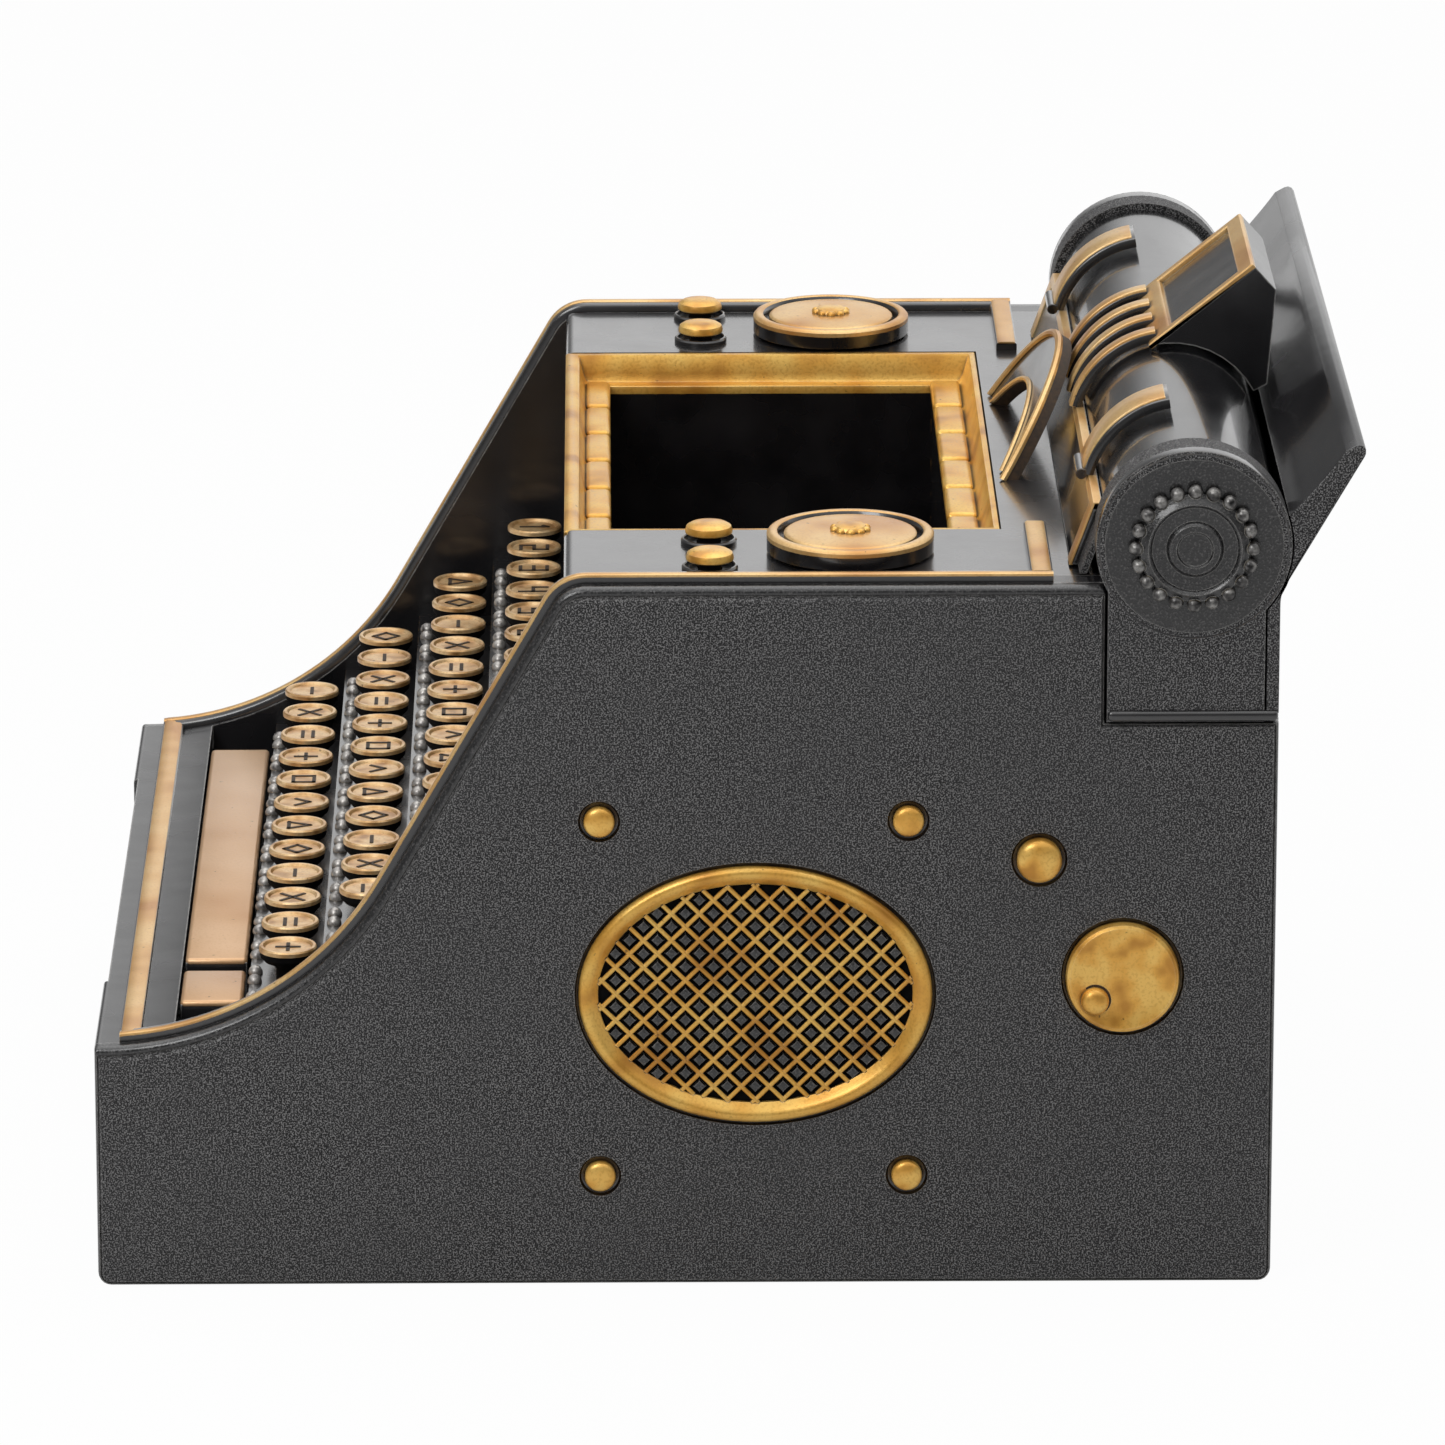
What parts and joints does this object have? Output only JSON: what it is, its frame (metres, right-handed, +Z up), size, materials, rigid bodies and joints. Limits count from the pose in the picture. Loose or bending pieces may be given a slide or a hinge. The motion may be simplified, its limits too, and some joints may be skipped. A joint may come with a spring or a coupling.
{
  "type": "typewriter",
  "caption": "Desk typewriter with a stepped keyboard of round keys, oval side grilles, ribbon spools, open type well and a sliding carriage with a turning platen.",
  "frame": {"origin": "middle of the cabinet's footprint, on the surface it stands on", "axes": "+X to the typist's right, along the platen; +Y away from the typist, from the space bar to the carriage; +Z up"},
  "size_m": [0.2684, 0.2874, 0.2153],
  "materials": {
    "charcoal_casting": "matt charcoal with a fine grain and worn edges",
    "black_enamel": "satin black enamel",
    "antique_gold": "antique gold, rubbed with black in the hollows",
    "platen_rubber": "polished black rubber",
    "knob_black": "matt black",
    "key_tops": "worn bronze top over black",
    "bar_bronze": "rubbed bronze",
    "steel": "dark oiled steel"
  },
  "bodies": {
    "cabinet": {"cabinet": "charcoal_casting", "base_pan": "charcoal_casting", "side_panel_left": "charcoal_casting", "side_panel_right": "charcoal_casting", "top_cover": "black_enamel", "edge_trim": "antique_gold", "well_frame": "antique_gold", "well_liner": "black_enamel", "key_bed": "black_enamel", "spool_cups": "black_enamel", "button_collars": "black_enamel", "grille_left": "antique_gold", "grille_right": "antique_gold", "side_studs": "antique_gold", "type_guide": "black_enamel", "carriage_rails": "steel"},
    "carriage": {"carriage_frame": "charcoal_casting", "front_plate": "antique_gold", "paper_rest": "charcoal_casting", "name_hood": "charcoal_casting"},
    "platen": {"platen": "platen_rubber", "platen_knobs": "knob_black"},
    "paper_finger_left": {"paper_finger_left": "antique_gold"},
    "paper_finger_right": {"paper_finger_right": "antique_gold"},
    "spool_left": {"spool_left": "antique_gold"},
    "spool_right": {"spool_right": "antique_gold"},
    "space_bar": {"space_bar": "bar_bronze"},
    "shift_bar": {"shift_bar": "bar_bronze"},
    "type_basket": {"type_segment": "steel", "type_bars": "steel"},
    "side_dial": {"side_dial": "antique_gold"},
    "side_button": {"side_button": "antique_gold"},
    "deck_button_1": {"deck_button_1": "antique_gold"},
    "deck_button_2": {"deck_button_2": "antique_gold"},
    "deck_button_3": {"deck_button_3": "antique_gold"},
    "deck_button_4": {"deck_button_4": "antique_gold"},
    "key_1_01": {"key_1_01": "key_tops"},
    "key_1_02": {"key_1_02": "key_tops"},
    "key_1_03": {"key_1_03": "key_tops"},
    "key_1_04": {"key_1_04": "key_tops"},
    "key_1_05": {"key_1_05": "key_tops"},
    "key_1_06": {"key_1_06": "key_tops"},
    "key_1_07": {"key_1_07": "key_tops"},
    "key_1_08": {"key_1_08": "key_tops"},
    "key_1_09": {"key_1_09": "key_tops"},
    "key_1_10": {"key_1_10": "key_tops"},
    "key_1_11": {"key_1_11": "key_tops"},
    "key_1_12": {"key_1_12": "key_tops"},
    "key_row_2": {"key_row_2": "key_tops"},
    "key_row_3": {"key_row_3": "key_tops"},
    "key_row_4": {"key_row_4": "key_tops"}
  },
  "joints": [
    {"name": "carriage_slide", "type": "slide", "parent": "cabinet", "child": "carriage", "axis": [1, 0, 0], "range_m": [-0.102, 0.088]},
    {"name": "platen_turn", "type": "hinge", "parent": "carriage", "child": "platen", "pos_m": [0, 0.1143, 0.1747], "axis": [1, 0, 0], "continuous": true},
    {"name": "space_bar_press", "type": "slide", "parent": "cabinet", "child": "space_bar", "axis": [0, 0, -1], "range_m": [0, 0.004], "stiffness_N_per_m": 250, "springref_m": -0.004},
    {"name": "shift_bar_press", "type": "slide", "parent": "cabinet", "child": "shift_bar", "axis": [0, 0, -1], "range_m": [0, 0.004], "stiffness_N_per_m": 700, "springref_m": -0.005},
    {"name": "basket_shift", "type": "slide", "parent": "cabinet", "child": "type_basket", "axis": [0, 0, -1], "range_m": [0, 0.006]},
    {"name": "spool_left_turn", "type": "hinge", "parent": "cabinet", "child": "spool_left", "pos_m": [-0.1005, 0.038, 0.1653], "axis": [0, 0, 1], "continuous": true},
    {"name": "spool_right_turn", "type": "hinge", "parent": "cabinet", "child": "spool_right", "pos_m": [0.1005, 0.038, 0.1653], "axis": [0, 0, 1], "continuous": true},
    {"name": "paper_finger_left_tilt", "type": "hinge", "parent": "carriage", "child": "paper_finger_left", "pos_m": [-0.0695, 0.09074, 0.18066], "axis": [1, 0, 0], "range_deg": [0, 9]},
    {"name": "paper_finger_right_tilt", "type": "hinge", "parent": "carriage", "child": "paper_finger_right", "pos_m": [0.0835, 0.09074, 0.18066], "axis": [1, 0, 0], "range_deg": [0, 9]},
    {"name": "side_dial_turn", "type": "hinge", "parent": "cabinet", "child": "side_dial", "pos_m": [0.131, 0.0993, 0.0736], "axis": [1, 0, 0], "range_deg": [-135, 135]},
    {"name": "side_button_press", "type": "slide", "parent": "cabinet", "child": "side_button", "axis": [-1, 0, 0], "range_m": [0, 0.002], "stiffness_N_per_m": 200, "springref_m": -0.003},
    {"name": "deck_button_1_press", "type": "slide", "parent": "cabinet", "child": "deck_button_1", "axis": [0, 0, -1], "range_m": [0, 0.002], "stiffness_N_per_m": 200, "springref_m": -0.003},
    {"name": "deck_button_2_press", "type": "slide", "parent": "cabinet", "child": "deck_button_2", "axis": [0, 0, -1], "range_m": [0, 0.002], "stiffness_N_per_m": 200, "springref_m": -0.003},
    {"name": "deck_button_3_press", "type": "slide", "parent": "cabinet", "child": "deck_button_3", "axis": [0, 0, -1], "range_m": [0, 0.002], "stiffness_N_per_m": 200, "springref_m": -0.003},
    {"name": "deck_button_4_press", "type": "slide", "parent": "cabinet", "child": "deck_button_4", "axis": [0, 0, -1], "range_m": [0, 0.002], "stiffness_N_per_m": 200, "springref_m": -0.003},
    {"name": "key_1_01_press", "type": "slide", "parent": "cabinet", "child": "key_1_01", "axis": [0, 0, -1], "range_m": [0, 0.005], "stiffness_N_per_m": 80, "springref_m": -0.004},
    {"name": "key_1_02_press", "type": "slide", "parent": "cabinet", "child": "key_1_02", "axis": [0, 0, -1], "range_m": [0, 0.005], "stiffness_N_per_m": 80, "springref_m": -0.004},
    {"name": "key_1_03_press", "type": "slide", "parent": "cabinet", "child": "key_1_03", "axis": [0, 0, -1], "range_m": [0, 0.005], "stiffness_N_per_m": 80, "springref_m": -0.004},
    {"name": "key_1_04_press", "type": "slide", "parent": "cabinet", "child": "key_1_04", "axis": [0, 0, -1], "range_m": [0, 0.005], "stiffness_N_per_m": 80, "springref_m": -0.004},
    {"name": "key_1_05_press", "type": "slide", "parent": "cabinet", "child": "key_1_05", "axis": [0, 0, -1], "range_m": [0, 0.005], "stiffness_N_per_m": 80, "springref_m": -0.004},
    {"name": "key_1_06_press", "type": "slide", "parent": "cabinet", "child": "key_1_06", "axis": [0, 0, -1], "range_m": [0, 0.005], "stiffness_N_per_m": 80, "springref_m": -0.004},
    {"name": "key_1_07_press", "type": "slide", "parent": "cabinet", "child": "key_1_07", "axis": [0, 0, -1], "range_m": [0, 0.005], "stiffness_N_per_m": 80, "springref_m": -0.004},
    {"name": "key_1_08_press", "type": "slide", "parent": "cabinet", "child": "key_1_08", "axis": [0, 0, -1], "range_m": [0, 0.005], "stiffness_N_per_m": 80, "springref_m": -0.004},
    {"name": "key_1_09_press", "type": "slide", "parent": "cabinet", "child": "key_1_09", "axis": [0, 0, -1], "range_m": [0, 0.005], "stiffness_N_per_m": 80, "springref_m": -0.004},
    {"name": "key_1_10_press", "type": "slide", "parent": "cabinet", "child": "key_1_10", "axis": [0, 0, -1], "range_m": [0, 0.005], "stiffness_N_per_m": 80, "springref_m": -0.004},
    {"name": "key_1_11_press", "type": "slide", "parent": "cabinet", "child": "key_1_11", "axis": [0, 0, -1], "range_m": [0, 0.005], "stiffness_N_per_m": 80, "springref_m": -0.004},
    {"name": "key_1_12_press", "type": "slide", "parent": "cabinet", "child": "key_1_12", "axis": [0, 0, -1], "range_m": [0, 0.005], "stiffness_N_per_m": 80, "springref_m": -0.004},
    {"name": "key_row_2_press", "type": "slide", "parent": "cabinet", "child": "key_row_2", "axis": [0, 0, -1], "range_m": [0, 0.005], "stiffness_N_per_m": 400, "springref_m": -0.004},
    {"name": "key_row_3_press", "type": "slide", "parent": "cabinet", "child": "key_row_3", "axis": [0, 0, -1], "range_m": [0, 0.005], "stiffness_N_per_m": 400, "springref_m": -0.004},
    {"name": "key_row_4_press", "type": "slide", "parent": "cabinet", "child": "key_row_4", "axis": [0, 0, -1], "range_m": [0, 0.005], "stiffness_N_per_m": 400, "springref_m": -0.004}
  ],
  "couplings": [
    {"joint": "basket_shift", "follows": "shift_bar_press", "ratio": 1.5},
    {"joint": "spool_left_turn", "follows": "spool_right_turn", "ratio": 1}
  ]
}
